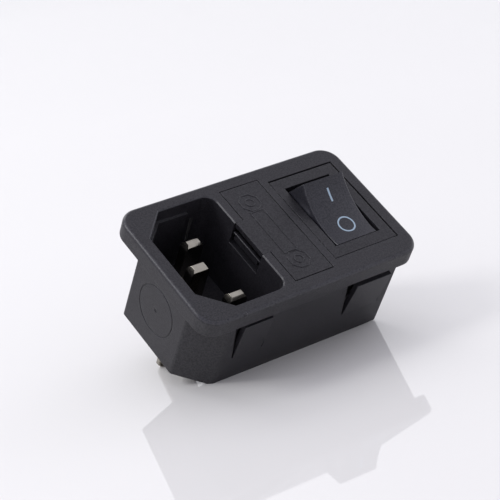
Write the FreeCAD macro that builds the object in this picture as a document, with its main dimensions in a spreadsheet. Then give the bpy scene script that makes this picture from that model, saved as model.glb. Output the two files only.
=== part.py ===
import FreeCAD, Part
import math
import os
import re
import Sketcher

# Power entry module: inlet, fuse drawer and a two-pole rocker switch in one moulded housing.
# Millimetres. The origin is the centre of the flange's rear seating face, +Z points out of
# the front, +X runs from the inlet to the switch. The levels below are measured from the
# moulding's datum, which lies seat_drop in front of the seating face.

doc = FreeCAD.newDocument("PowerEntryModule")
sheet = doc.addObject("Spreadsheet::Sheet", "Sizes")
aliases = []
derived = {}
nodes = {}


def size(alias, value):
    """One named size, kept in the next row of the sheet."""
    row = len(aliases) + 1
    sheet.set(f"A{row}", alias)
    sheet.set(f"B{row}", str(value))
    sheet.setAlias(f"B{row}", alias)
    aliases.append(alias)


def link(text):
    """Writes a place or length in the sheet's own cells."""
    return re.sub(r"[a-z_]+", lambda word: linked_word(word[0]), str(text))


def linked_word(word):
    """The cell of one named size, or the sum that a derived name stands for."""
    if word in aliases:
        return f"Sizes.{word}"
    if word in derived:
        return f"({link(derived[word])})"
    return word


def derive(name, text):
    """A name for a place that is worked out from the sizes."""
    derived[name] = text


def piece(name):
    """A body for one physical piece."""
    doc.recompute()
    body = doc.addObject("PartDesign::Body", name)
    body.Label = name
    nodes[name] = body
    put(body)
    return body


def put(body, x=0, y=0, z=0, tilt=0):
    """Places a body from the datum, tilted about X."""
    body.setExpression("Placement.Base.x", link(x))
    body.setExpression("Placement.Base.y", link(y))
    body.setExpression("Placement.Base.z", link(f"seat_drop + {z}"))
    if tilt:
        body.Placement.Rotation = FreeCAD.Rotation(FreeCAD.Vector(1, 0, 0), 1)
        body.setExpression("Placement.Rotation.Angle", link(tilt))


def sketch_on(body, plane, level):
    """An empty sketch parallel to an origin plane, at a level along that plane's own axis."""
    sketch = body.newObject("Sketcher::SketchObject", f"{body.Name}_sketch")
    support = [face for face in body.Origin.OriginFeatures if face.Role == plane][0]
    sketch.AttachmentSupport = (support, [""])
    sketch.MapMode = "FlatFace"
    turned = f"-({level})" if plane == "XZ_Plane" else level
    sketch.setExpression("AttachmentOffset.Base.z", link(turned))
    return sketch


def fix(sketch, kind, place, amount, expression):
    """One dimension of a sketch, tied to the sheet."""
    number = sketch.addConstraint(Sketcher.Constraint(kind, *place, amount))
    sketch.setExpression(f"Constraints[{number}]", link(expression))


def extrude(body, sketch, start, end, cut):
    """Pads or pockets a sketch from its level towards the other one."""
    kind = "PartDesign::Pocket" if cut else "PartDesign::Pad"
    feature = body.newObject(kind, f"{body.Name}_step")
    feature.Profile = sketch
    feature.Reversed = cut
    feature.setExpression("Length", link(f"({end}) - ({start})"))
    return feature


def slab(body, plane, start, end, corners, cut=False):
    """A straight-sided block between two levels, over the outline through the corners."""
    sketch = sketch_on(body, plane, end if plane == "XZ_Plane" else start)
    count = len(corners)
    ring = [FreeCAD.Vector(10 * math.cos(math.tau * step / count),
                           10 * math.sin(math.tau * step / count), 0)
            for step in range(count)]
    for step in range(count):
        sketch.addGeometry(Part.LineSegment(ring[step], ring[(step + 1) % count]))
    for step in range(count):
        sketch.addConstraint(Sketcher.Constraint("Coincident", step, 2, (step + 1) % count, 1))
    for step, (across, along) in enumerate(corners):
        fix(sketch, "DistanceX", (step, 1), ring[step].x, across)
        fix(sketch, "DistanceY", (step, 1), ring[step].y, along)
    return extrude(body, sketch, start, end, cut)


def box(body, x_low, x_high, y_low, y_high, z_low, z_high, cut=False):
    """A block given by its six faces."""
    corners = [(x_low, y_low), (x_high, y_low), (x_high, y_high), (x_low, y_high)]
    return slab(body, "XY_Plane", z_low, z_high, corners, cut)


def rod(body, plane, start, end, across, along, radius, cut=False, bore=None):
    """A round bar between two levels, hollow where a bore is given."""
    sketch = sketch_on(body, plane, end if plane == "XZ_Plane" else start)
    for step, reach in enumerate([radius, bore] if bore else [radius]):
        sketch.addGeometry(Part.Circle(FreeCAD.Vector(0.1, 0.1, 0), FreeCAD.Vector(0, 0, 1), 1 + step))
        fix(sketch, "DistanceX", (step, 3), 0.1, across)
        fix(sketch, "DistanceY", (step, 3), 0.1, along)
        fix(sketch, "Radius", (step,), 1 + step, reach)
    return extrude(body, sketch, start, end, cut)


def soften(body, kind, amount, chosen):
    """A fillet or chamfer on the edges of the present shape that the test picks."""
    doc.recompute()
    tip = body.Tip
    picked = [f"Edge{step + 1}" for step, edge in enumerate(tip.Shape.Edges) if chosen(edge)]
    feature = body.newObject(f"PartDesign::{kind}", f"{body.Name}_{kind.lower()}")
    feature.Base = (tip, picked)
    feature.setExpression("Radius" if kind == "Fillet" else "Size", link(amount))
    return feature


def runs_along(edge, axis):
    """True where an edge is straight and parallel to an axis, given as 0, 1 or 2."""
    if len(edge.Vertexes) < 2 or not isinstance(edge.Curve, Part.Line):
        return False
    span = edge.Vertexes[1].Point - edge.Vertexes[0].Point
    return abs(abs(span[axis]) - span.Length) < 0.001


def lies_at(edge, axis, level):
    """True where a whole edge lies at one level of an axis."""
    box_now = edge.BoundBox
    low = (box_now.XMin, box_now.YMin, box_now.ZMin)[axis]
    high = (box_now.XMax, box_now.YMax, box_now.ZMax)[axis]
    return abs(low - level) < 0.01 and abs(high - level) < 0.01


written_before = set(globals())

# Sizes of the housing and its three bays.
left_lip = 1.7
right_lip = 2.9
side_lip = 1.4
flange_thick = 3.0
flange_corner = 3.8
front_round = 0.8
seat_drop = 0.5
body_deep = 17.8
body_bevel = 5.6
body_edge = 0.3
rear_step = 1.0
bevel_round = 0.8
end_wall = 1.0
side_wall = 1.1
recess_long = 16.8
recess_bevel = 5.2
recess_round = 2.2
mouth_bevel = 0.25
recess_floor = 13.5
collar_thick = 0.4
collar_top = 0.1
collar_long = 12.1
bay_web = 1.8
bay_long = 9.0
bay_floor = 13.0
bay_wall = 1.3
switch_web = 1.6
right_wall = 1.5
window_half = 4.35
window_deep = 2.0

# Sizes of the switch's seat in the flange.
bezel_in = 0.1
bezel_side_rim = 2.025
bezel_rim = 2.4
well_spare = 1.2
bezel_thick = 1.2
bezel_gap = 0.15
bezel_far_gap = 0.4
base_wall = 0.8
base_end_wall = 1.1
base_gap = 0.1

# Sizes of the snap leaves.
leaf_top = 2.6
leaf_root = 11.3
leaf_thick = 1.0
leaf_slot = 0.4
leaf_join = 0.2
leaf_slit = 1.65
leaf_slit_low = 0.3
leaf_slit_right = 0.25
inlet_leaf_in = 7.6
inlet_leaf_long = 6.4
inlet_leaf_lean = 0.6
switch_leaf_in = 4.3
switch_leaf_long = 8.4
switch_leaf_lean = 1.0

# Sizes of the gate mark.
gate_ring = 5.2
gate_line = 0.25
gate_deep = 0.1
gate_low = 8.5
gate_dot = 0.4

# Sizes of the pins, tabs and strap.
blade_long = 4.0
blade_thick = 2.0
blade_bevel = 0.5
blade_tip = 2.6
blade_shoulder = 1.1
phase_reach = 1.8
earth_reach = 0.2
phase_in = 10.4
earth_in = 6.4
phase_apart = 7.0
tab_wide = 6.3
tab_thick = 0.8
tab_reach = 26.3
tab_bevel = 0.8
tab_hole_up = 3.4
tab_hole_round = 0.85
rivet_round = 0.9
strap_thick = 0.8

# Sizes of the fuse contacts.
contact_wide = 4.0
contact_thick = 0.5
contact_gap = 0.5
contact_room = 2.2
contact_top = 2.5
contact_bow = 0.3
contact_foot = 10.0
strap_half = 1.75
strap_past = 0.35
strap_back = 1.75

# Sizes of the fuse drawer.
drawer_gap = 0.2
cover_thick = 2.2
pull_half = 4.3
pull_thick = 1.0
channel_high = 1.4
lip_half = 3.6
lip_thick = 1.2
tray_gap = 0.35
tray_short = 0.1
tray_wall = 1.2
tray_floor = 10.6
tray_floor_thick = 1.0

# Sizes of the fuse.
fuse_low = 6.3
fuse_half = 10.0
cap_round = 2.6
cap_long = 5.0
cap_skin = 0.13
cap_end = 0.4
glass_round = 2.45
glass_bore = 1.8
glass_short = 0.5
wire_round = 0.12

# Sizes of the switch body.
opening_in = 2.0
opening_side_gap = 0.325
opening_gap = 0.2
base_deep = 12.0
base_floor = 1.2
divider_thick = 0.8
divider_top = 5.6
pivot_low = 0.08
trunnion_round = 1.2
trunnion_fit = 0.07
pole_wall = 1.3

# Sizes of the rocker.
rocker_tilt = 18.1
rocker_top_half = 6.6
rocker_top = 5.4
rocker_scoop = 14.8
rocker_flare = 1.3
rocker_skirt = 0.5
rocker_foot = 1.2
skirt_bevel = 1.0
crown_foot = 0.8
rocker_width = 10.2
rocker_crown = 9.6
rocker_skin = 1.2
rocker_hollow = 2.2
tube_reach = 3.6
tube_round = 1.85
plunger_round = 1.2
plunger_fit = 0.05
trunnion_long = 0.75

# Sizes of the poles under the rocker.
plunger_tip = 5.6
plunger_back = 1.6
spring_round = 0.85
spring_wire = 0.14
spring_pitch = 1.0
spring_seat = 0.3
spring_ends = 0.7
lever_low = 6.9
lever_tilt = 8.0
lever_half = 1.1
lever_rise = 0.176
lever_under = 0.32
lever_thick = 0.6
lever_over = 0.8
lever_tail = 3.0
cradle_round = 0.55
bead_round = 0.5
ear_thick = 0.35
contact_in = 2.8
contact_round = 1.0
shank_round = 0.45
rivet_low = 0.6
rivet_bevel = 0.2
seat_low = 7.25
switch_tab_reach = 20.3
switch_tab_wide = 4.2
fixed_in = 2.2
common_join = 9.6
shelf_low = 7.8
shelf_thick = 0.8
shelf_wide = 2.2
shelf_past = 1.1
skirt_deep = 5.0
skirt_thick = 1.0
ear_foot = 1.2
ear_half = 1.0
seat_out = 0.3

for name in list(globals()):
    if name not in written_before and name != "written_before":
        size(name, globals()[name])
doc.recompute()


# The length adds up from the inlet end, and the width from the fuse outwards.
derive("opening_long", "rocker_width + 2 * opening_side_gap")
derive("bezel_long", "opening_long + 2 * bezel_side_rim")
derive("well_long", "bezel_long - well_spare")
derive("pole_apart", "rocker_width / 2 - rocker_skin - pole_wall")
derive("flange_long", "left_lip + end_wall + recess_long + bay_web + bay_long + switch_web + "
       "well_long + right_wall + right_lip")
derive("body_left", "left_lip - flange_long / 2")
derive("body_right", "flange_long / 2 - right_lip")
derive("recess_left", "body_left + end_wall")
derive("recess_right", "recess_left + recess_long")
derive("collar_right", "recess_left + collar_long")
derive("earth_at", "recess_left + earth_in")
derive("phase_at", "recess_left + phase_in")
derive("bay_left", "recess_right + bay_web")
derive("bay_right", "bay_left + bay_long")
derive("fuse_at", "bay_left + bay_long / 2")
derive("well_left", "bay_right + switch_web")
derive("well_right", "body_right - right_wall")
derive("bezel_left", "well_left + bezel_in")
derive("bezel_right", "bezel_left + bezel_long")
derive("opening_left", "well_left + opening_in")
derive("opening_right", "opening_left + opening_long")
derive("switch_at", "opening_left + opening_long / 2")
derive("base_left", "opening_left - base_wall")
derive("base_right", "opening_right + base_wall")
derive("bay_half", "fuse_half + contact_room")
derive("body_half", "bay_half + bay_wall")
derive("flange_wide", "2 * (body_half + side_lip)")
derive("recess_half", "body_half - side_wall")
derive("contact_from", "fuse_half + contact_gap")
derive("contact_mid", "contact_from + contact_thick / 2")
derive("tray_half", "fuse_half - tray_short")
derive("rocker_low_half", "rocker_top_half + rocker_flare")
derive("opening_half", "rocker_low_half + opening_gap")
derive("base_half", "opening_half + base_end_wall")
derive("bezel_half", "opening_half + bezel_rim")
derive("contact_at", "opening_half - contact_in")
derive("fixed_at", "opening_half - fixed_in")
derive("lever_reach", "contact_at + lever_over")
derive("inlet_leaf_left", "recess_left + inlet_leaf_in")
derive("inlet_leaf_right", "inlet_leaf_left + inlet_leaf_long")
derive("switch_leaf_left", "well_left + switch_leaf_in")
derive("switch_leaf_right", "switch_leaf_left + switch_leaf_long")
derive("cover_left", "bay_left + drawer_gap")
derive("cover_right", "bay_right - drawer_gap")
derive("tray_left", "bay_left + tray_gap")
derive("tray_right", "bay_right - tray_gap")

# Housing: one black moulding with the flange, the inlet shroud, the fuse bay and the switch well.
housing = piece("housing")
slab(housing, "XY_Plane", "-body_deep", "0", [
    ("body_left + body_bevel", "-body_half"), ("body_right", "-body_half"),
    ("body_right", "body_half"), ("body_left + body_bevel", "body_half"),
    ("body_left", "body_half - body_bevel"), ("body_left", "body_bevel - body_half")])
soften(housing, "Fillet", "bevel_round", lambda edge: runs_along(edge, 2))
soften(housing, "Chamfer", "body_edge", lambda edge: lies_at(edge, 2, -body_deep))
box(housing, "-flange_long / 2", "flange_long / 2", "-flange_wide / 2", "flange_wide / 2",
    "-seat_drop", "flange_thick")
soften(housing, "Fillet", "flange_corner", lambda edge: runs_along(edge, 2)
       and edge.BoundBox.ZMin > -seat_drop - 0.01)
soften(housing, "Fillet", "front_round", lambda edge: lies_at(edge, 2, flange_thick))

# Inlet recess with its inner collar.
recess = slab(housing, "XY_Plane", "collar_top", "flange_thick", [
    ("recess_left + recess_bevel", "-recess_half"), ("recess_right", "-recess_half"),
    ("recess_right", "recess_half"), ("recess_left + recess_bevel", "recess_half"),
    ("recess_left", "recess_half - recess_bevel"), ("recess_left", "recess_bevel - recess_half")],
    cut=True)
slab(housing, "XY_Plane", "-recess_floor", "collar_top", [
    ("recess_left + recess_bevel + collar_thick", "collar_thick - recess_half"),
    ("collar_right", "collar_thick - recess_half"), ("collar_right", "-recess_half"),
    ("recess_right", "-recess_half"), ("recess_right", "recess_half"),
    ("collar_right", "recess_half"), ("collar_right", "recess_half - collar_thick"),
    ("recess_left + recess_bevel + collar_thick", "recess_half - collar_thick"),
    ("recess_left + collar_thick", "recess_half - recess_bevel"),
    ("recess_left + collar_thick", "recess_bevel - recess_half")], cut=True)
doc.recompute()
recess_end = recess.Profile[0].Shape.BoundBox.XMax
body_reach = fuse_half + contact_room + bay_wall
soften(housing, "Fillet", "recess_round", lambda edge: runs_along(edge, 2)
       and abs(edge.CenterOfMass.x - recess_end) < 0.01)
soften(housing, "Chamfer", "mouth_bevel", lambda edge: lies_at(edge, 2, flange_thick)
       and edge.BoundBox.XMax < recess_end + 0.01
       and edge.BoundBox.YMax < body_reach and edge.BoundBox.YMin > -body_reach
       and edge.BoundBox.XMin > recess.Profile[0].Shape.BoundBox.XMin - 0.01)

# Fuse bay, open to the inlet recess through a window for the drawer's pull.
box(housing, "bay_left", "bay_right", "-bay_half", "bay_half", "-bay_floor", "flange_thick", cut=True)
box(housing, "recess_right", "bay_left", "-window_half", "window_half", "-window_deep",
    "flange_thick", cut=True)

# Switch well, open to the rear, with a stepped opening in the flange for the bezel.
box(housing, "well_left", "well_right", "-bay_half", "bay_half", "-body_deep", "0", cut=True)
box(housing, "bezel_left - bezel_gap", "bezel_right + bezel_far_gap", "-bezel_half - bezel_gap",
    "bezel_half + bezel_far_gap", "flange_thick - bezel_thick", "flange_thick", cut=True)
box(housing, "base_left - base_gap", "base_right + base_gap", "-base_half - base_gap",
    "base_half + base_gap", "0", "flange_thick - bezel_thick", cut=True)

# Snap leaves on both long sides: tongues hinged at the bottom that lean outward.
for sign in ("-", ""):
    for left, right, lean, wall in (
            ("inlet_leaf_left", "inlet_leaf_right", "inlet_leaf_lean", "side_wall"),
            ("switch_leaf_left", "switch_leaf_right", "switch_leaf_lean", "bay_wall")):
        skin = ["body_half + 0.5", f"body_half - {wall} - 0.05"]
        start, end = (f"-({skin[0]})", f"-({skin[1]})") if sign else (skin[1], skin[0])
        slab(housing, "XZ_Plane", start, end, [
            (f"{left} - leaf_slit_low", "-leaf_root"), (f"{right} + leaf_slit_right", "-leaf_root"),
            (f"{right} + leaf_slit_right", "leaf_slot - leaf_top"),
            (f"{left} - leaf_slit", "leaf_slot - leaf_top")], cut=True)
        slab(housing, "YZ_Plane", left, right, [
            (f"{sign}(body_half - leaf_thick)", "-leaf_root - leaf_join"),
            (f"{sign}body_half", "-leaf_root - leaf_join"),
            (f"{sign}(body_half + {lean})", "-leaf_top"),
            (f"{sign}(body_half + {lean} - leaf_thick)", "-leaf_top")])

# Round gate mark on the inlet end.
rod(housing, "YZ_Plane", "body_left", "body_left + gate_deep", "0", "-gate_low",
    "gate_ring", True, "gate_ring - gate_line")
rod(housing, "YZ_Plane", "body_left", "body_left + gate_deep", "0", "-gate_low",
    "gate_dot", True)

# Inlet pins: bevelled blades moulded into the recess floor.


def tab(body, across_x, at_x, at_y, top, reach, wide):
    """A quick-connect tab running down from a level, its width along X or along Y."""
    half_x, half_y = (wide, "tab_thick") if across_x else ("tab_thick", wide)
    box(body, f"{at_x} - {half_x} / 2", f"{at_x} + {half_x} / 2", f"{at_y} - {half_y} / 2",
        f"{at_y} + {half_y} / 2", f"-{reach}", top)
    plane, centre = ("XZ_Plane", at_x) if across_x else ("YZ_Plane", at_y)
    side = at_y if across_x else at_x
    for turn in ("-", "+"):
        slab(body, plane, f"{side} - 1", f"{side} + 1", [
            (f"{centre} {turn} {wide} / 2", f"-{reach}"),
            (f"{centre} {turn} ({wide} / 2 - tab_bevel)", f"-{reach}"),
            (f"{centre} {turn} {wide} / 2", f"tab_bevel - {reach}")], cut=True)
    rod(body, plane, f"{side} - 1", f"{side} + 1", centre, f"tab_hole_up - {reach}", "tab_hole_round", True)


def blade(body, at_x, at_y, tip):
    """The front blade of a pin with its bevelled tip."""
    slab(body, "XZ_Plane", f"{at_y} - blade_thick / 2", f"{at_y} + blade_thick / 2", [
        (f"{at_x} - blade_long / 2", "rear_step - body_deep"), (f"{at_x} + blade_long / 2", "rear_step - body_deep"),
        (f"{at_x} + blade_long / 2", f"{tip} - blade_shoulder"), (f"{at_x} + blade_tip / 2", tip),
        (f"{at_x} - blade_tip / 2", tip), (f"{at_x} - blade_long / 2", f"{tip} - blade_shoulder")])
    doc.recompute()
    level = body.Tip.Shape.BoundBox.ZMax
    soften(body, "Chamfer", "blade_bevel", lambda edge: lies_at(edge, 2, level)
           and runs_along(edge, 0))
    box(housing, f"{at_x} - blade_long / 2", f"{at_x} + blade_long / 2",
        f"{at_y} - blade_thick / 2", f"{at_y} + blade_thick / 2", "rear_step - body_deep",
        "-recess_floor", cut=True)


earth_pin = piece("earth_pin")
blade(earth_pin, "earth_at", "0", "earth_reach")
tab(earth_pin, True, "earth_at", "0", "rear_step - body_deep", "tab_reach", "tab_wide")
box(housing, "earth_at - tab_wide / 2", "earth_at + tab_wide / 2", "-tab_thick / 2",
    "tab_thick / 2", "-body_deep", "rear_step - body_deep", cut=True)

neutral_pin = piece("neutral_pin")
blade(neutral_pin, "phase_at", "phase_apart", "-phase_reach")
tab(neutral_pin, True, "phase_at", "phase_apart", "rear_step - body_deep", "tab_reach", "tab_wide")
box(housing, "phase_at - tab_wide / 2", "phase_at + tab_wide / 2",
    "phase_apart - tab_thick / 2", "phase_apart + tab_thick / 2", "-body_deep",
    "rear_step - body_deep", cut=True)

# The line pin has no tab: a strap let into the rear face joins it to the fuse.
line_pin = piece("line_pin")
blade(line_pin, "phase_at", "-phase_apart", "-phase_reach")
rod(line_pin, "XY_Plane", "-body_deep", "rear_step - body_deep", "phase_at", "-phase_apart",
    "rivet_round")

# Fuse contacts: spring plates beside the fuse's two ends.


def fuse_contact(body, sign):
    """A plate that stands in the bay and leans its bowed middle towards the cap."""
    inner = f"{sign}contact_from"
    outer = f"{sign}(contact_from + contact_thick)"
    bow_in = f"{sign}(contact_from - contact_bow)"
    bow_out = f"{sign}(contact_from + contact_thick - contact_bow)"
    slab(body, "YZ_Plane", "fuse_at - contact_wide / 2", "fuse_at + contact_wide / 2", [
        (inner, "rear_step - body_deep"), (outer, "rear_step - body_deep"), (outer, "-contact_foot"), (bow_out, "-fuse_low"),
        (outer, "-contact_top"), (inner, "-contact_top"), (bow_in, "-fuse_low"),
        (inner, "-contact_foot")])
    low, high = (outer, inner) if sign else (inner, outer)
    box(housing, "fuse_at - contact_wide / 2", "fuse_at + contact_wide / 2", low, high,
        "rear_step - body_deep", "-bay_floor", cut=True)


fuse_contact_line = piece("fuse_contact_line")
fuse_contact(fuse_contact_line, "-")
rod(fuse_contact_line, "XY_Plane", "-body_deep", "rear_step - body_deep", "fuse_at",
    "-contact_mid", "rivet_round")

fuse_contact_load = piece("fuse_contact_load")
fuse_contact(fuse_contact_load, "")
tab(fuse_contact_load, True, "fuse_at", "contact_mid", "rear_step - body_deep", "tab_reach", "tab_wide")
box(housing, "fuse_at - tab_wide / 2", "fuse_at + tab_wide / 2", "contact_mid - tab_thick / 2",
    "contact_mid + tab_thick / 2", "-body_deep", "rear_step - body_deep", cut=True)

line_link = piece("line_link")
strap_corners = [
    ("phase_at - strap_half", "strap_back - phase_apart - 2 * strap_half"),
    ("fuse_at - strap_half", "-contact_from - strap_half - strap_past"),
    ("fuse_at + strap_half", "-contact_from - strap_half - strap_past"),
    ("fuse_at + strap_half", "strap_half - contact_from - strap_past"),
    ("fuse_at - strap_half", "strap_half - contact_from - strap_past"),
    ("phase_at + strap_half", "strap_back - phase_apart"),
    ("phase_at - strap_half", "strap_back - phase_apart")]
slab(line_link, "XY_Plane", "-body_deep", "strap_thick - body_deep", strap_corners)
slab(housing, "XY_Plane", "-body_deep", "rear_step - body_deep", strap_corners, cut=True)
for across, along in (("phase_at", "-phase_apart"),
                      ("fuse_at", "-contact_mid")):
    rod(line_link, "XY_Plane", "-body_deep", "strap_thick - body_deep", across, along,
        "rivet_round", True)

# Fuse drawer: cover, pull lip and a tray for the fuse.

fuse_drawer = piece("fuse_drawer")
box(fuse_drawer, "cover_left", "cover_right", "drawer_gap - bay_half", "bay_half - drawer_gap",
    "flange_thick - cover_thick", "flange_thick")
box(fuse_drawer, "recess_right + drawer_gap", "cover_left", "-pull_half", "pull_half",
    "flange_thick - pull_thick", "flange_thick")
box(fuse_drawer, "recess_right + drawer_gap", "tray_left", "-lip_half", "lip_half",
    "flange_thick - pull_thick - channel_high - lip_thick",
    "flange_thick - pull_thick - channel_high")
box(fuse_drawer, "tray_left", "tray_right", "-tray_half", "tray_half", "-tray_floor",
    "flange_thick - cover_thick")
box(fuse_drawer, "tray_left + tray_wall", "tray_right - tray_wall", "-tray_half",
    "tray_half", "tray_floor_thick - tray_floor", "flange_thick - cover_thick", cut=True)
box(fuse_drawer, "tray_left", "tray_left + tray_wall", "-pull_half", "pull_half",
    "flange_thick - pull_thick - channel_high", "flange_thick - cover_thick", cut=True)

# Fuse: glass tube, two brass caps and the wire, lying along Y in the drawer.

fuse_tube = piece("fuse_tube")
rod(fuse_tube, "XZ_Plane", "glass_short - fuse_half", "fuse_half - glass_short", "fuse_at", "-fuse_low",
    "glass_round", False, "glass_bore")
for name, sign in (("fuse_cap_near", "-"), ("fuse_cap_far", "")):
    cap = piece(name)
    low, high = ("-fuse_half", "cap_long - fuse_half") if sign else (
        "fuse_half - cap_long", "fuse_half")
    rod(cap, "XZ_Plane", low, high, "fuse_at", "-fuse_low", "cap_round")
    bore_low, bore_high = ("cap_end - fuse_half", high) if sign else (low, "fuse_half - cap_end")
    rod(cap, "XZ_Plane", bore_low, bore_high, "fuse_at", "-fuse_low", "cap_round - cap_skin", True)
fuse_wire = piece("fuse_wire")
rod(fuse_wire, "XZ_Plane", "cap_end - fuse_half", "fuse_half - cap_end", "fuse_at", "-fuse_low",
    "wire_round")

# Switch body: a thin bezel on the flange and a base that carries the terminals.

switch_body = piece("switch_body")
box(switch_body, "base_left", "base_right", "-base_half", "base_half", "-base_deep",
    "flange_thick - bezel_thick")
box(switch_body, "bezel_left", "bezel_right", "-bezel_half", "bezel_half",
    "flange_thick - bezel_thick", "flange_thick")
box(switch_body, "opening_left", "opening_right", "-opening_half", "opening_half",
    "base_floor - base_deep", "flange_thick", cut=True)
for low, high in (("-base_half", "skirt_thick - base_half"), ("base_half - skirt_thick", "base_half")):
    box(switch_body, "base_left", "base_right", low, high, "-base_deep - skirt_deep", "-base_deep")
box(switch_body, "switch_at - divider_thick / 2", "switch_at + divider_thick / 2",
    "-opening_half", "opening_half", "base_floor - base_deep", "-divider_top")
rod(switch_body, "YZ_Plane", "base_left", "base_right", "0", "-pivot_low",
    "trunnion_round + trunnion_fit", True)

# Rocker: a scooped cap on two trunnions, with a guide tube under it for each pole's plunger.

rocker = piece("rocker")
put(rocker, "switch_at", "0", "-pivot_low", "rocker_tilt")
slab(rocker, "YZ_Plane", "-rocker_width / 2", "rocker_width / 2", [
    ("-rocker_top_half", "rocker_top"), ("-rocker_low_half", "-rocker_skirt"),
    ("skirt_bevel - rocker_low_half", "-rocker_foot"), ("rocker_low_half - skirt_bevel", "-rocker_foot"),
    ("rocker_low_half", "-rocker_skirt"), ("rocker_top_half", "rocker_top")])
for turn in ("-", "+"):
    slab(rocker, "XZ_Plane", "-9", "9", [
        (f"0 {turn} rocker_crown / 2", "rocker_top"),
        (f"0 {turn} rocker_width / 2", "crown_foot"),
        (f"0 {turn} (rocker_width / 2 + 1)", "crown_foot"),
        (f"0 {turn} (rocker_width / 2 + 1)", "rocker_top + 0.5"),
        (f"0 {turn} rocker_crown / 2", "rocker_top + 0.5")], cut=True)
rod(rocker, "YZ_Plane", "-rocker_width", "rocker_width", "0",
    "rocker_top + sqrt(rocker_scoop^2 - rocker_top_half^2)", "rocker_scoop", True)
box(rocker, "rocker_skin - rocker_width / 2", "rocker_width / 2 - rocker_skin",
    "rocker_skin - rocker_top_half", "rocker_top_half - rocker_skin", "-rocker_foot",
    "rocker_hollow", cut=True)
for turn in ("-", "+"):
    rod(rocker, "XY_Plane", "-tube_reach", "rocker_hollow", f"0 {turn} pole_apart", "0",
        "tube_round")
    rod(rocker, "XY_Plane", "-tube_reach", "rocker_hollow", f"0 {turn} pole_apart", "0",
        "plunger_round + plunger_fit", True)
rod(rocker, "YZ_Plane", "rocker_width / 2 - rocker_skin", "rocker_width / 2 + trunnion_long", "0",
    "0", "trunnion_round")
rod(rocker, "YZ_Plane", "-rocker_width / 2 - trunnion_long", "rocker_skin - rocker_width / 2",
    "0", "0", "trunnion_round")

# Poles: plunger and spring in the tube, lever on the common terminal, fixed terminal beside it.

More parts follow.
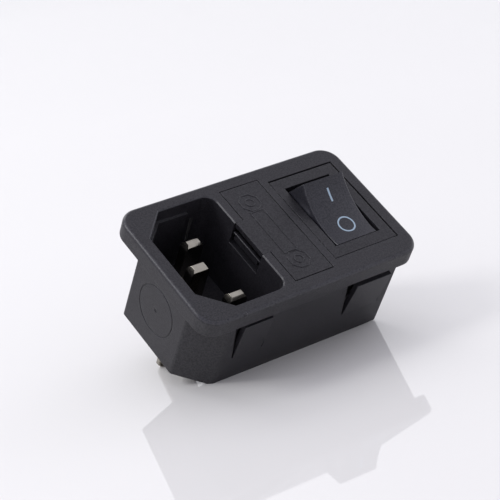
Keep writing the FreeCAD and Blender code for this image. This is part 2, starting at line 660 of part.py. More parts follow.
for pole, turn in (("1", "-"), ("2", "+")):
    pole_at = f"(switch_at {turn} pole_apart)"
    plunger = piece(f"plunger_{pole}")
    put(plunger, pole_at, "0", "-pivot_low", "rocker_tilt")
    rod(plunger, "XY_Plane", "-plunger_tip", "-plunger_back", "0", "0", "plunger_round")
    soften(plunger, "Fillet", "plunger_round * 0.8",
           lambda edge: lies_at(edge, 2, -plunger_tip))

    spring = piece(f"plunger_spring_{pole}")
    put(spring, pole_at, "0", "-pivot_low", "rocker_tilt")
    section = sketch_on(spring, "XZ_Plane", "0")
    ring = [(-0.1, -0.1), (0.1, -0.1), (0.1, 0.1), (-0.1, 0.1)]
    for step in range(4):
        here = ring[step]
        there = ring[(step + 1) % 4]
        section.addGeometry(Part.LineSegment(FreeCAD.Vector(0.9 + here[0], -1.2 + here[1], 0),
                                             FreeCAD.Vector(0.9 + there[0], -1.2 + there[1], 0)))
    for step in range(4):
        section.addConstraint(Sketcher.Constraint("Coincident", step, 2, (step + 1) % 4, 1))
    for step, (side, lift) in enumerate((("-", "-"), ("+", "-"), ("+", "+"), ("-", "+"))):
        fix(section, "DistanceX", (step, 1), 0.9, f"spring_round {side} spring_wire")
        fix(section, "DistanceY", (step, 1), -1.2, f"spring_seat - plunger_back {lift} spring_wire")
    coil = spring.newObject("PartDesign::AdditiveHelix", f"spring_{pole}_coil")
    coil.Profile = section
    coil.ReferenceAxis = (section, ["V_Axis"])
    coil.Mode = 0
    coil.setExpression("Pitch", link("spring_pitch"))
    coil.setExpression("Height", link("plunger_back + rocker_hollow - spring_ends"))

    lever = piece(f"contact_lever_{pole}")
    put(lever, pole_at, "0", "-lever_low", "-lever_tilt")
    slab(lever, "YZ_Plane", "-lever_half", "lever_half", [
        ("0", "lever_under"), ("lever_tail", "lever_under + lever_tail * lever_rise"),
        ("lever_tail", "lever_under + lever_thick + lever_tail * lever_rise"),
        ("0", "lever_under + lever_thick"),
        ("-lever_reach", "lever_under + lever_thick + lever_reach * lever_rise"),
        ("-lever_reach", "lever_under + lever_reach * lever_rise")])
    for side in ("-", "+"):
        start, end = ("-lever_half", "ear_thick - lever_half") if side == "-" else (
            "lever_half - ear_thick", "lever_half")
        slab(lever, "YZ_Plane", start, end, [
            ("-ear_half", "-ear_foot"), ("ear_half", "-ear_foot"),
            ("1.4 * ear_half", "lever_under + 0.2"), ("-1.4 * ear_half", "lever_under + 0.2")])
    rod(lever, "YZ_Plane", "ear_thick - lever_half", "lever_half - ear_thick", "0", "0",
        "cradle_round", True)
    rod(lever, "XY_Plane", "0", "lever_under + lever_thick + lever_reach * lever_rise", "0",
        "-contact_at", "shank_round", True)

    moving = piece(f"lever_contact_{pole}")
    put(moving, pole_at, "0", "-lever_low", "-lever_tilt")
    rod(moving, "XY_Plane", "rivet_low", "lever_under + (contact_at - contact_round) * lever_rise"
        " - 0.02", "0", "-contact_at", "contact_round")
    rod(moving, "XY_Plane", "rivet_low", "lever_under + lever_thick + contact_at * lever_rise",
        "0", "-contact_at", "shank_round")
    soften(moving, "Chamfer", "rivet_bevel", lambda edge: lies_at(edge, 2, rivet_low))

    common = piece(f"common_terminal_{pole}")
    put(common, pole_at)
    tab(common, False, "0", "0", "-common_join", "switch_tab_reach", "switch_tab_wide")
    box(common, "-tab_thick / 2", "tab_thick / 2", "-bead_round", "bead_round", "-common_join",
        "-lever_low")
    rod(common, "YZ_Plane", "-tab_thick / 2", "tab_thick / 2", "0", "-lever_low", "bead_round")

    fixed = piece(f"fixed_terminal_{pole}")
    put(fixed, pole_at)
    tab(fixed, False, "0", "-fixed_at", "-shelf_low - shelf_thick", "switch_tab_reach",
        "switch_tab_wide")
    box(fixed, "-shelf_wide / 2", "shelf_wide / 2", "-fixed_at - switch_tab_wide / 2",
        "shelf_past - contact_at", "-shelf_low - shelf_thick", "-shelf_low")

    seat = piece(f"fixed_contact_{pole}")
    put(seat, pole_at)
    rod(seat, "XY_Plane", "-shelf_low", "-seat_low", "0", "-contact_at - seat_out", "contact_round")

    for along in ("0", "-fixed_at"):
        box(switch_body, f"{pole_at} - tab_thick / 2", f"{pole_at} + tab_thick / 2",
            f"{along} - switch_tab_wide / 2", f"{along} + switch_tab_wide / 2", "-base_deep",
            "base_floor - base_deep", cut=True)

doc.recompute()
os.makedirs("parts", exist_ok=True)
for item in doc.Objects:
    if "Invalid" in item.State or "Error" in item.State:
        raise RuntimeError(f"{item.Name} is {item.State}")
for name, body in nodes.items():
    shape = body.Shape
    if shape.isNull() or not shape.isValid() or len(shape.Solids) != 1:
        raise RuntimeError(f"{name} is not one valid solid")
    shape.exportStep(f"parts/{name}.step")
    print(name, round(shape.Volume, 2), [round(edge, 2) for edge in (
        shape.BoundBox.XMin, shape.BoundBox.XMax, shape.BoundBox.YMin, shape.BoundBox.YMax,
        shape.BoundBox.ZMin, shape.BoundBox.ZMax)])
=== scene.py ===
import bpy
import math
from mathutils import Matrix, Vector


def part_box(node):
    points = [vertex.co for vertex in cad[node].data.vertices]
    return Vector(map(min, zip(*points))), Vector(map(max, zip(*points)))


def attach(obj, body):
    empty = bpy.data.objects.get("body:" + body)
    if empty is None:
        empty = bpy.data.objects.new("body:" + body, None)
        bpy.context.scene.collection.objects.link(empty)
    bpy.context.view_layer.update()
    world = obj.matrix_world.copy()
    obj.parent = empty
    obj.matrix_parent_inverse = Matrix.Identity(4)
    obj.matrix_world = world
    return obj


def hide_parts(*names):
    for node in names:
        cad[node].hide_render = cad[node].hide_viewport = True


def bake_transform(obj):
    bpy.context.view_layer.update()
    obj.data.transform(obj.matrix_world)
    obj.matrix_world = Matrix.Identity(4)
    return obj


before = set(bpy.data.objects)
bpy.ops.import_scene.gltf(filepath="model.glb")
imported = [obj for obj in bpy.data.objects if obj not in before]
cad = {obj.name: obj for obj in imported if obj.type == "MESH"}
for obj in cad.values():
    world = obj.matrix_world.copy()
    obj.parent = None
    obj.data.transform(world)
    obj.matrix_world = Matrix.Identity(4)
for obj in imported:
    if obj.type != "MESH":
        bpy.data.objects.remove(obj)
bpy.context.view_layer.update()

# Housing: flange, inlet shroud, fuse bay and switch well in one piece.
# Black glass-filled polyamide, injection moulded in a spark-eroded tool, so the skin is a fine
# matte grain that only shines softly along the rounded rims, where handling has polished it.
# The rims that face upward are also painted a lighter grey: partly rubbed wear, partly a
# painted highlight.
moulding_black = "#1d1c20"
moulding_grey = "#28272c"
# Lighter grey for the rims that face upward: rubbed wear, and partly a painted highlight.
rubbed_and_highlight_grey = "#3c3c42"
flow_mm = 6.0
scuff_mm = 2.4
scuff_stretch = (0.12, 1.0, 1.0)
scuff_slant = 0.6
# The real grain is finer: this is as coarse as it needs to be to show.
grain_mm = 0.32
grain_contrast = 0.25
rough_spread = 0.09
scuff_polish = 0.08
rim_polish = 0.15
# The upward part of the softened normal: below the first is a wall, past the second a slope.
wall_rise = 0.2
slope_rise = 0.5
level_fade = 0.1


def linear(code):
    """An sRGB hex colour as the linear one that a shader takes."""
    channels = [int(code[step:step + 2], 16) / 255 for step in (1, 3, 5)]
    return [*((level / 12.92 if level <= 0.04045 else ((level + 0.055) / 1.055) ** 2.4)
              for level in channels), 1.0]


def put(tree, kind, settings=(), links=()):
    """Adds a shader node, sets its values and joins its sockets, by name or by number."""
    node = tree.nodes.new(kind)
    for name, value in dict(settings).items():
        if isinstance(name, int) or name in node.inputs:
            node.inputs[name].default_value = value
        else:
            setattr(node, name, value)
    for name, source in dict(links).items():
        tree.links.new(source, node.inputs[name])
    return node


def finish_named(name):
    """A new material with an empty tree and its output node."""
    material = bpy.data.materials.new(name)
    material.use_nodes = True
    material.node_tree.nodes.clear()
    output = material.node_tree.nodes.new("ShaderNodeOutputMaterial")
    return material, material.node_tree, output


def dress(node_name, material):
    """Gives a CAD node its finish."""
    mesh = cad[node_name].data
    mesh.materials.clear()
    mesh.materials.append(material)


def moulded(name, dark, light, roughness, grain, height_mm, edge_mm, shine=0.38, level=0.985):
    """Moulded plastic: slow flow marks, eroded grain, faint scuffs and softened, rubbed edges.
    The rims that face upward are painted a lighter grey, partly rubbed wear and partly a painted
    highlight.

    A face whose normal rises by level or more is flat and isn't rubbed or painted lighter."""
    material, tree, output = finish_named(name)
    place = put(tree, "ShaderNodeTexCoord").outputs["Object"]
    flow = put(tree, "ShaderNodeTexNoise", {"Scale": 1000 / flow_mm, "Detail": 3.0},
               {"Vector": place})
    skin = put(tree, "ShaderNodeTexNoise",
               {"Scale": 1000 / grain, "Detail": 4.0, "Roughness": 0.65}, {"Vector": place})
    drawn = put(tree, "ShaderNodeMapping",
                {"Scale": scuff_stretch, "Rotation": (0.0, 0.0, scuff_slant)}, {"Vector": place})
    scuff = put(tree, "ShaderNodeTexNoise",
                {"Scale": 1000 / scuff_mm, "Detail": 5.0, "Roughness": 0.7},
                {"Vector": drawn.outputs["Vector"]})
    scuffed = put(tree, "ShaderNodeMapRange", {"From Min": 0.6, "From Max": 0.72},
                  {"Value": scuff.outputs["Fac"]})
    soft = put(tree, "ShaderNodeBevel", {"samples": 6, "Radius": edge_mm / 1000})
    facing = put(tree, "ShaderNodeSeparateXYZ", {}, {"Vector": soft.outputs["Normal"]})
    leaning = put(tree, "ShaderNodeMapRange",
                  {"From Min": level, "From Max": level - level_fade},
                  {"Value": facing.outputs["Z"]})
    rim = put(tree, "ShaderNodeMapRange", {"From Min": wall_rise, "From Max": slope_rise},
              {"Value": facing.outputs["Z"], "To Max": leaning.outputs["Result"]})
    # Rims that face upward, clouded by the flow noise: where the lighter grey goes, as rubbed wear
    # and as a painted highlight.
    worn_and_highlit = put(tree, "ShaderNodeMath", {"operation": "MULTIPLY"},
               {0: rim.outputs["Result"], 1: flow.outputs["Fac"]})
    speckle = put(tree, "ShaderNodeMapRange",
                  {"From Min": 0.4, "From Max": 0.6,
                   "To Min": -grain_contrast, "To Max": grain_contrast},
                  {"Value": skin.outputs["Fac"]})
    shade = put(tree, "ShaderNodeMath", {"operation": "ADD", "use_clamp": True},
                {0: flow.outputs["Fac"], 1: speckle.outputs["Result"]})
    tone = put(tree, "ShaderNodeMix", {"data_type": "RGBA", 6: linear(dark), 7: linear(light)},
               {"Factor": shade.outputs["Value"]})
    # Painted highlight and rubbed wear: the tone is mixed towards the lighter grey on those rims.
    rubbed_and_highlit = put(tree, "ShaderNodeMix", {"data_type": "RGBA", 7: linear(rubbed_and_highlight_grey)},
                 {"Factor": worn_and_highlit.outputs["Value"], 6: tone.outputs[2]})
    rough = put(tree, "ShaderNodeMapRange",
                {"From Min": 0.3, "From Max": 0.7,
                 "To Min": roughness - rough_spread, "To Max": roughness + rough_spread},
                {"Value": skin.outputs["Fac"]})
    polished = put(tree, "ShaderNodeMath", {"operation": "MULTIPLY_ADD", 1: -scuff_polish},
                   {0: scuffed.outputs["Result"], 2: rough.outputs["Result"]})
    smooth = put(tree, "ShaderNodeMath", {"operation": "MULTIPLY_ADD", 1: -rim_polish},
                 {0: rim.outputs["Result"], 2: polished.outputs["Value"]})
    grip = put(tree, "ShaderNodeMapRange", {"To Min": 0.9, "To Max": 0.15},
               {"Value": rim.outputs["Result"]})
    bump = put(tree, "ShaderNodeBump", {"Distance": height_mm / 1000},
               {"Height": skin.outputs["Fac"], "Normal": soft.outputs["Normal"],
                "Strength": grip.outputs["Result"]})
    pitted = put(tree, "ShaderNodeMath", {"operation": "MULTIPLY_ADD", 1: shine, 2: shine},
                 {0: speckle.outputs["Result"]})
    shader = put(tree, "ShaderNodeBsdfPrincipled", {"IOR": 1.53},
                 {"Base Color": rubbed_and_highlit.outputs[2], "Roughness": smooth.outputs["Value"],
                  "Specular IOR Level": pitted.outputs["Value"],
                  "Normal": bump.outputs["Normal"]})
    tree.links.new(shader.outputs["BSDF"], output.inputs["Surface"])
    return material


housing_skin = moulded("polyamide_spark_eroded", moulding_black, moulding_grey, roughness=0.48,
                       grain=grain_mm, height_mm=0.06, edge_mm=0.16)
dress("housing", housing_skin)

# Gate nub: the stub that stays on the flange's near edge where the moulding was cut from its
# runner; the same plastic, broken off and left a little proud.
nub_low = Vector((-0.0170, -0.0150, 0.0026))
nub_high = Vector((-0.0162, -0.0142, 0.00345))
nub_round = 0.00025
smooth_below = math.radians(30)


def select_none():
    """Leaves nothing selected in the scene."""
    bpy.ops.object.select_all(action="DESELECT")


def rounded_block(name, low, high, rounding, material):
    """A block between two corners, with all its edges rounded."""
    select_none()
    bpy.ops.mesh.primitive_cube_add(size=1.0, location=(low + high) / 2)
    piece = bpy.context.object
    piece.name = name
    piece.scale = high - low
    bpy.ops.object.transform_apply(location=True, rotation=True, scale=True)
    bpy.ops.object.mode_set(mode="EDIT")
    bpy.ops.mesh.select_all(action="SELECT")
    bpy.ops.mesh.bevel(offset=rounding, segments=3, affect="EDGES")
    bpy.ops.object.mode_set(mode="OBJECT")
    bpy.ops.object.shade_smooth_by_angle(angle=smooth_below)
    piece.data.materials.append(material)
    return piece


nub = rounded_block("gate_nub", nub_low, nub_high, nub_round, housing_skin)
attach(nub, "housing")

# Inlet pins: nickel-plated brass blades, blanked, bevelled and barrel plated, which rounds their
# edges. The plating is bright, with faint lengthwise drawing lines and a little tarnish.
nickel_bright = "#bdb9af"
nickel_dull = "#8f8a7e"
draw_line_mm = 0.12
tarnish_mm = 2.5
line_polish = 0.08
line_drag = 0.1
weld_gap = 0.000002
flat_within = 0.01
pin_round = 0.00042
pin_round_past = math.radians(25)


def plated(name, bright, dull, roughness, line_mm, stretch):
    """Metal strip or bar: its colour clouded by tarnish, with fine lines along its length."""
    material, tree, output = finish_named(name)
    place = put(tree, "ShaderNodeTexCoord").outputs["Object"]
    cloud = put(tree, "ShaderNodeTexNoise", {"Scale": 1000 / tarnish_mm, "Detail": 4.0},
                {"Vector": place})
    tone = put(tree, "ShaderNodeMix", {"data_type": "RGBA", 6: linear(bright), 7: linear(dull)},
               {"Factor": cloud.outputs["Fac"]})
    drawn = put(tree, "ShaderNodeMapping", {"Scale": stretch}, {"Vector": place})
    lines = put(tree, "ShaderNodeTexNoise", {"Scale": 1000 / line_mm, "Detail": 2.0},
                {"Vector": drawn.outputs["Vector"]})
    rough = put(tree, "ShaderNodeMapRange",
                {"To Min": roughness - line_polish, "To Max": roughness + line_drag},
                {"Value": lines.outputs["Fac"]})
    bump = put(tree, "ShaderNodeBump", {"Strength": 0.3, "Distance": 0.00001},
               {"Height": lines.outputs["Fac"]})
    shader = put(tree, "ShaderNodeBsdfPrincipled", {"Metallic": 1.0},
                 {"Base Color": tone.outputs[2], "Roughness": rough.outputs["Result"],
                  "Normal": bump.outputs["Normal"]})
    tree.links.new(shader.outputs["BSDF"], output.inputs["Surface"])
    return material


def merged_copy(node_name, material):
    """A CAD node's mesh, merged into whole faces, in a new piece that is shown in its place."""
    select_none()
    piece = bpy.data.objects.new(f"{node_name}_rounded", cad[node_name].data.copy())
    bpy.context.scene.collection.objects.link(piece)
    piece.select_set(True)
    bpy.context.view_layer.objects.active = piece
    bpy.ops.object.mode_set(mode="EDIT")
    bpy.ops.mesh.select_mode(type="EDGE")
    bpy.ops.mesh.select_all(action="SELECT")
    bpy.ops.mesh.remove_doubles(threshold=weld_gap)
    bpy.ops.mesh.dissolve_limited(angle_limit=flat_within)
    bpy.ops.mesh.select_all(action="DESELECT")
    bpy.ops.object.mode_set(mode="OBJECT")
    piece.data.materials.clear()
    piece.data.materials.append(material)
    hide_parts(node_name)
    return piece


nickel = plated("nickel_plated_brass_drawn", nickel_bright, nickel_dull, roughness=0.17,
                line_mm=draw_line_mm, stretch=(1.0, 1.0, 0.05))
for name in ("earth_pin", "neutral_pin", "line_pin"):
    pin = merged_copy(name, nickel)
    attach(pin, "housing")
    rounding = pin.modifiers.new("tumbled_edges", "BEVEL")
    rounding.width = pin_round
    rounding.segments = 4
    rounding.limit_method = "ANGLE"
    rounding.angle_limit = pin_round_past
    bpy.ops.object.modifier_apply(modifier="tumbled_edges")
    bpy.ops.object.shade_smooth_by_angle(angle=smooth_below)

# Strap and fuse contacts: bare stamped brass strip, riveted to the line pin and let into the
# rear face. Its rolling lines give it a dull sheen, and it has darkened a little in the air.
brass_clean = "#c9a85a"
brass_aged = "#a07f3c"
roll_line_mm = 0.15
brass = plated("brass_strip_rolled", brass_clean, brass_aged, roughness=0.33,
               line_mm=roll_line_mm, stretch=(0.06, 1.0, 1.0))
for name in ("line_link", "fuse_contact_line", "fuse_contact_load"):
    dress(name, brass)

# Fuse drawer: the same moulding as the housing, from a finer tool, so its cover is a little
# smoother. It carries the raised sign of a fuse: two eight-sided rings joined by a long box.
drawer_grain_mm = 0.3
drawer_skin = moulded("polyamide_drawer", "#18171b", "#252429", roughness=0.46,
                      grain=drawer_grain_mm, height_mm=0.04, edge_mm=0.14)
dress("fuse_drawer", drawer_skin)
cover_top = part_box("fuse_drawer")[1][2]
sign_line = 0.00024
sign_high = 0.00008
sign_ring = 0.0023
sign_eye = 0.0010
sign_centres = {"far": (0.0003, 0.0076), "near": (0.0004, -0.0078)}
sign_middle = (0.0002, -0.0002)
sign_box = (0.0032, 0.0112)


def raised_line(name, line, high, material):
    """Makes the new flat face a closed line along its own outline, raised from the surface."""
    piece = bpy.context.object
    piece.name = name
    bpy.ops.object.transform_apply(location=True, rotation=True, scale=True)
    bpy.ops.object.mode_set(mode="EDIT")
    bpy.ops.mesh.select_all(action="SELECT")
    bpy.ops.mesh.inset(thickness=line, use_even_offset=True)
    bpy.ops.mesh.delete(type="FACE")
    bpy.ops.mesh.select_all(action="SELECT")
    bpy.ops.mesh.extrude_region_move(TRANSFORM_OT_translate={"value": (0, 0, high)})
    bpy.ops.mesh.select_all(action="SELECT")
    bpy.ops.mesh.normals_make_consistent(inside=False)
    bpy.ops.object.mode_set(mode="OBJECT")
    piece.data.materials.append(material)
    return piece


for end, centre in sign_centres.items():
    for part, sides, reach in (("ring", 8, sign_ring), ("eye", 32, sign_eye)):
        select_none()
        bpy.ops.mesh.primitive_circle_add(vertices=sides, radius=reach, fill_type="NGON",
                                          location=(*centre, cover_top),
                                          rotation=(0, 0, math.pi / sides))
        sign = raised_line(f"sign_{part}_{end}", sign_line, sign_high, drawer_skin)
        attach(sign, "drawer")
select_none()
bpy.ops.mesh.primitive_plane_add(size=1.0, location=(*sign_middle, cover_top))
bpy.context.object.scale = (*sign_box, 1)
sign = raised_line("sign_box", sign_line, sign_high, drawer_skin)
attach(sign, "drawer")

# Lip of the drawer's pull: a thin rounded bar along its edge, moulded with the drawer, that a
# fingernail hooks behind.
lip_low = Vector((-0.0054, -0.00425, 0.00095))
lip_high = Vector((-0.0047, 0.0041, 0.00145))
lip_round = 0.00014
lip = rounded_block("pull_lip", lip_low, lip_high, lip_round, drawer_skin)
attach(lip, "drawer")

# Fuse: a drawn glass tube between two pressed and plated caps, with the tinned wire down its
# middle. The glass is clear and a little rippled, the caps are bright and the wire is grey.
ripple_mm = 2.5
cap_line_mm = 0.2
wire_line_mm = 0.05
glass, tree, output = finish_named("soda_glass_drawn")
place = put(tree, "ShaderNodeTexCoord").outputs["Object"]
ripple = put(tree, "ShaderNodeTexNoise", {"Scale": 1000 / ripple_mm}, {"Vector": place})
bump = put(tree, "ShaderNodeBump", {"Strength": 0.1, "Distance": 0.00002},
           {"Height": ripple.outputs["Fac"]})
shader = put(tree, "ShaderNodeBsdfPrincipled",
             {"Base Color": linear("#eef5f2"), "Roughness": 0.03, "IOR": 1.52,
              "Transmission Weight": 1.0}, {"Normal": bump.outputs["Normal"]})
tree.links.new(shader.outputs["BSDF"], output.inputs["Surface"])
dress("fuse_tube", glass)
cap_metal = plated("nickel_plated_cap_pressed", "#d2cfc6", "#b3afa4", roughness=0.2,
                   line_mm=cap_line_mm, stretch=(1.0, 0.1, 1.0))
wire_metal = plated("tinned_copper_wire", "#b9b6ae", "#96938b", roughness=0.3,
                    line_mm=wire_line_mm, stretch=(1.0, 0.1, 1.0))
for name in ("fuse_cap_near", "fuse_cap_far"):
    dress(name, cap_metal)
dress("fuse_wire", wire_metal)

# Switch body: bezel and base in one black polyamide moulding, pressed into the flange from the
# front. Its tool was polished further than the housing's, so it is smoother.
switch_grain_mm = 0.3
switch_skin = moulded("polyamide_switch_body", "#18171b", "#222126", roughness=0.44,
                      grain=switch_grain_mm, height_mm=0.035, edge_mm=0.16)
dress("switch_body", switch_skin)

# Rocker: one polycarbonate moulding that turns on two trunnions, satin with a faint blue cast and
# a fine grain. Its rims are softly rounded, the two ends of the scoop more than its sides.
rocker_grain_mm = 0.26
# Its level is low, so the lighter grey of the rims, rubbed wear and painted highlight, also
# reaches the steeper parts of the scoop.
rocker_skin = moulded("polycarbonate_satin", "#18181f", "#22222b", roughness=0.42,
                      grain=rocker_grain_mm, height_mm=0.03, edge_mm=0.2, shine=0.45, level=0.72)
pivot = Vector((0.014325, 0.0, 0.00042))
rest_tilt = math.radians(18.1)
rest_turn = Matrix.Translation(pivot) @ Matrix.Rotation(rest_tilt, 4, "X")
scoop_round = 0.0148
scoop_half = 0.0066
scoop_rim = 0.0054
scoop_axis = scoop_rim + math.sqrt(scoop_round ** 2 - scoop_half ** 2)
scoop_slack = 0.00002
side_round = 0.0004
side_from = 0.0047
end_round = 0.0006
end_from = 0.0063
rocker = merged_copy("rocker", rocker_skin)
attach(rocker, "rocker")


def along_side(first, second):
    """Whether an edge of the level rocker runs along one of its long sides."""
    return first.x * second.x > 0 and min(abs(first.x), abs(second.x)) > side_from


def across_end(first, second):
    """Whether an edge of the level rocker runs across one of its ends."""
    return first.x * second.x < 0 and min(abs(first.y), abs(second.y)) > end_from


def round_rims(piece, size, chosen):
    """Rounds the rim edges of the scooped face that pass a test on their two ends."""
    upright = rest_turn.inverted()
    ends = [upright @ vertex.co for vertex in piece.data.vertices]
    rim = [abs(math.hypot(end.y, scoop_axis - end.z) - scoop_round) < scoop_slack for end in ends]
    for edge in piece.data.edges:
        first, second = edge.vertices
        edge.select = rim[first] and rim[second] and chosen(ends[first], ends[second])
    bpy.ops.object.mode_set(mode="EDIT")
    bpy.ops.mesh.bevel(offset=size, segments=4, affect="EDGES")
    bpy.ops.mesh.select_all(action="DESELECT")
    bpy.ops.object.mode_set(mode="OBJECT")


round_rims(rocker, side_round, along_side)
round_rims(rocker, end_round, across_end)
bpy.ops.object.shade_smooth_by_angle(angle=smooth_below)

# Marks on the rocker: a bar for on and a ring for off, pad printed on the scooped face in a thin
# coat of white ink that looks pale blue and a little uneven over the black.
ink_grain_mm = 0.1
ink_thick = 0.00003
mark_across = 0.00022
bar_wide = 0.0004
bar_ends = (0.0021, 0.0048)
ring_centre = -0.0031
ring_out = 0.0018
ring_line = 0.0003
print_white, tree, output = finish_named("pad_printed_white_ink")
place = put(tree, "ShaderNodeTexCoord").outputs["Object"]
ink = put(tree, "ShaderNodeTexNoise", {"Scale": 1000 / ink_grain_mm}, {"Vector": place})
tone = put(tree, "ShaderNodeMix",
           {"data_type": "RGBA", 6: linear("#8ea4b6"), 7: linear("#a6b9c9")},
           {"Factor": ink.outputs["Fac"]})
shader = put(tree, "ShaderNodeBsdfPrincipled", {"Roughness": 0.45},
             {"Base Color": tone.outputs[2]})
tree.links.new(shader.outputs["BSDF"], output.inputs["Surface"])


def lay_on_scoop(piece):
    """Bends a flat mark onto the scooped face and turns it with the rocker."""
    for vertex in piece.data.vertices:
        across, along, lift = vertex.co
        reach = scoop_round - lift
        vertex.co = (across, reach * math.sin(along / scoop_round),
                     scoop_axis - reach * math.cos(along / scoop_round))
    piece.data.transform(rest_turn)
    piece.data.update()
    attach(piece, "rocker")


select_none()
bpy.ops.mesh.primitive_plane_add(size=1.0)
bar = bpy.context.object
bar.name = "mark_bar"
bar.scale = (bar_wide, bar_ends[1] - bar_ends[0], 1)
bar.location = (mark_across, (bar_ends[0] + bar_ends[1]) / 2, 0)
bpy.ops.object.transform_apply(location=True, rotation=True, scale=True)
bpy.ops.object.mode_set(mode="EDIT")
bpy.ops.mesh.select_all(action="SELECT")
bpy.ops.mesh.subdivide(number_cuts=7)
bpy.ops.mesh.select_all(action="SELECT")
bpy.ops.mesh.extrude_region_move(TRANSFORM_OT_translate={"value": (0, 0, ink_thick)})
bpy.ops.object.mode_set(mode="OBJECT")
bar.data.materials.append(print_white)
lay_on_scoop(bar)

select_none()
bpy.ops.mesh.primitive_circle_add(vertices=64, radius=ring_out, fill_type="NGON",
                                  location=(mark_across, ring_centre, 0))
ring = raised_line("mark_ring", ring_line, ink_thick, print_white)
lay_on_scoop(ring)

# Poles under the rocker: milky acetal plungers, grey spring steel coils, brass levers and
# terminals, and pale silver alloy rivets. Each coil stands between the rocker and its plunger.
plunger_grain_mm = 0.3
rivet_line_mm = 0.1
coil_line_mm = 0.05
pole_apart = 0.0026
acetal = moulded("acetal_natural", "#d8d5cb", "#e2dfd6", roughness=0.4, grain=plunger_grain_mm,
                 height_mm=0.008, edge_mm=0.1)
silver = plated("silver_alloy_rivet", "#dcdad4", "#bdbab2", roughness=0.28,
                line_mm=rivet_line_mm, stretch=(1.0, 1.0, 1.0))
spring_metal = plated("spring_steel_wire", "#9c9b98", "#7d7c79", roughness=0.3,
                      line_mm=coil_line_mm, stretch=(1.0, 1.0, 1.0))
for pole, across in (("1", -pole_apart), ("2", pole_apart)):
    dress(f"plunger_{pole}", acetal)
    coil = merged_copy(f"plunger_spring_{pole}", spring_metal)
    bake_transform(coil)
    for name in ("contact_lever", "common_terminal", "fixed_terminal"):
        dress(f"{name}_{pole}", brass)
    for name in ("lever_contact", "fixed_contact"):
        dress(f"{name}_{pole}", silver)

# Camera: a long lens that looks down on the inlet's end and the near side. Its place and
# direction are fitted to the flange's corners, so that the view is the photo's.
camera_place = Vector((-0.17030, -0.14616, 0.20938))
camera_ahead = Vector((0.54537, 0.47978, -0.68730)).normalized()
camera_up = Vector((0.28188, 0.66724, 0.68944))
camera_right = camera_ahead.cross(camera_up).normalized()
camera_data = bpy.data.cameras.new("camera")
camera_data.sensor_width = 36.0
camera_data.lens = 120.05
camera_data.clip_start = 0.01
camera = bpy.data.objects.new("camera", camera_data)
turn = Matrix((camera_right, camera_right.cross(camera_ahead), -camera_ahead)).transposed()
camera.matrix_world = Matrix.Translation(camera_place) @ turn.to_4x4()
bpy.context.scene.collection.objects.link(camera)
bpy.context.scene.camera = camera

# Table: white acrylic sheet, extruded and glossy, with a slight haze. The module leans on its near
# lower edge and its rear tabs, so the table is tilted in the module's own frame. Seen from below
# it is clear, so that it doesn't hide the rear.
table_up = Vector((0.0134, 0.5712, 0.8207)).normalized()
table_level = -0.02154
table_wide = 3.0
haze_mm = 33.33
select_none()
bpy.ops.mesh.primitive_plane_add(size=table_wide)
table = bpy.context.object
table.name = "table"
table.rotation_mode = "QUATERNION"
table.rotation_quaternion = table_up.to_track_quat("Z", "Y")
table.location = table_up * table_level
bpy.ops.object.transform_apply(location=True, rotation=True, scale=True)
gloss, tree, output = finish_named("white_acrylic_table")
place = put(tree, "ShaderNodeTexCoord").outputs["Object"]
haze = put(tree, "ShaderNodeTexNoise", {"Scale": 1000 / haze_mm}, {"Vector": place})
rough = put(tree, "ShaderNodeMapRange", {"To Min": 0.015, "To Max": 0.03},
            {"Value": haze.outputs["Fac"]})
shader = put(tree, "ShaderNodeBsdfPrincipled", {"Base Color": linear("#ebeae8"), "IOR": 1.7},
             {"Roughness": rough.outputs["Result"]})
clear = put(tree, "ShaderNodeBsdfTransparent")
faced = put(tree, "ShaderNodeNewGeometry")
one_sided = put(tree, "ShaderNodeMixShader", {},
                {"Fac": faced.outputs["Backfacing"], 1: shader.outputs["BSDF"],
                 2: clear.outputs["BSDF"]})
tree.links.new(one_sided.outputs["Shader"], output.inputs["Surface"])
table.data.materials.append(gloss)

# Backdrop: a white paper screen at the far side of the table, whose gloss mirrors it. It lights
# the module as plain paper does, and shows as white to the camera and in the table.
back = (camera_ahead - table_up * camera_ahead.dot(table_up)).normalized()
left = table_up.cross(back)
screen_away = 0.62
screen_high = 0.46
screen_wide = 1.6


def looks_or_lights(tree, looking, look, light):
    """One shader where two kinds of ray look at it, and another for the light it gives."""
    path = put(tree, "ShaderNodeLightPath")
    seen = put(tree, "ShaderNodeMath", {"operation": "MAXIMUM"},
               {0: path.outputs[looking[0]], 1: path.outputs[looking[1]]})
    both = put(tree, "ShaderNodeMixShader", {},
               {"Fac": seen.outputs["Value"], 1: light.outputs[0], 2: look.outputs[0]})
    return both.outputs["Shader"]


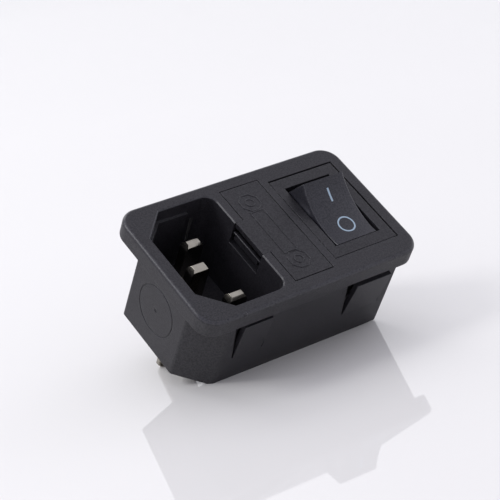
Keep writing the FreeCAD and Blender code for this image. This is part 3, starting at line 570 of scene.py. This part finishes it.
select_none()
bpy.ops.mesh.primitive_plane_add(size=1.0)
screen = bpy.context.object
screen.name = "paper_screen"
screen.scale = (screen_wide, screen_high, 1)
screen.rotation_mode = "QUATERNION"
upright = Matrix((left, table_up, left.cross(table_up))).transposed()
screen.rotation_quaternion = upright.to_quaternion()
screen.location = back * screen_away + table_up * (table_level + screen_high / 2)
bpy.ops.object.transform_apply(location=True, rotation=True, scale=True)
paper, tree, output = finish_named("white_paper_screen")
sheet = put(tree, "ShaderNodeBsdfDiffuse", {"Color": linear("#f2f2f6")})
glow = put(tree, "ShaderNodeEmission", {"Color": linear("#fbfbff"), "Strength": 1.0})
tree.links.new(looks_or_lights(tree, ("Is Camera Ray", "Is Glossy Ray"), glow, sheet),
               output.inputs["Surface"])
screen.data.materials.append(paper)

# Light: a white studio all round, a soft key from the left that draws the rims, one behind it for
# the top faces, and a weak one at the far right.
world = bpy.data.worlds.new("studio")
bpy.context.scene.world = world
world.use_nodes = True
world.node_tree.nodes.clear()
tree = world.node_tree
output = tree.nodes.new("ShaderNodeOutputWorld")
backdrop = put(tree, "ShaderNodeBackground", {"Color": linear("#fdfdff"), "Strength": 1.0})
ambient = put(tree, "ShaderNodeBackground", {"Color": linear("#f2f1fb"), "Strength": 0.89})
tree.links.new(looks_or_lights(tree, ("Is Camera Ray", "Is Transmission Ray"), backdrop, ambient),
               output.inputs["Surface"])


def softbox(name, high, behind, leftward, size, power, colour):
    """A square area lamp over the table, facing the module."""
    data = bpy.data.lights.new(name, "AREA")
    data.size = size
    data.energy = power
    data.color = linear(colour)[:3]
    lamp = bpy.data.objects.new(name, data)
    lamp.location = table_up * high + back * behind + left * leftward
    lamp.rotation_euler = (-lamp.location).to_track_quat("-Z", "Y").to_euler()
    bpy.context.scene.collection.objects.link(lamp)


softbox("left_softbox", high=0.42, behind=-0.1, leftward=0.45, size=0.22, power=1.15,
        colour="#ffffff")
softbox("rear_left_softbox", high=0.5, behind=0.5, leftward=0.36, size=0.4, power=1.1,
        colour="#ffffff")
softbox("far_right_softbox", high=0.26, behind=0.34, leftward=-0.6, size=0.5, power=0.5,
        colour="#f4f5ff")

bpy.context.scene.view_settings.view_transform = "Standard"
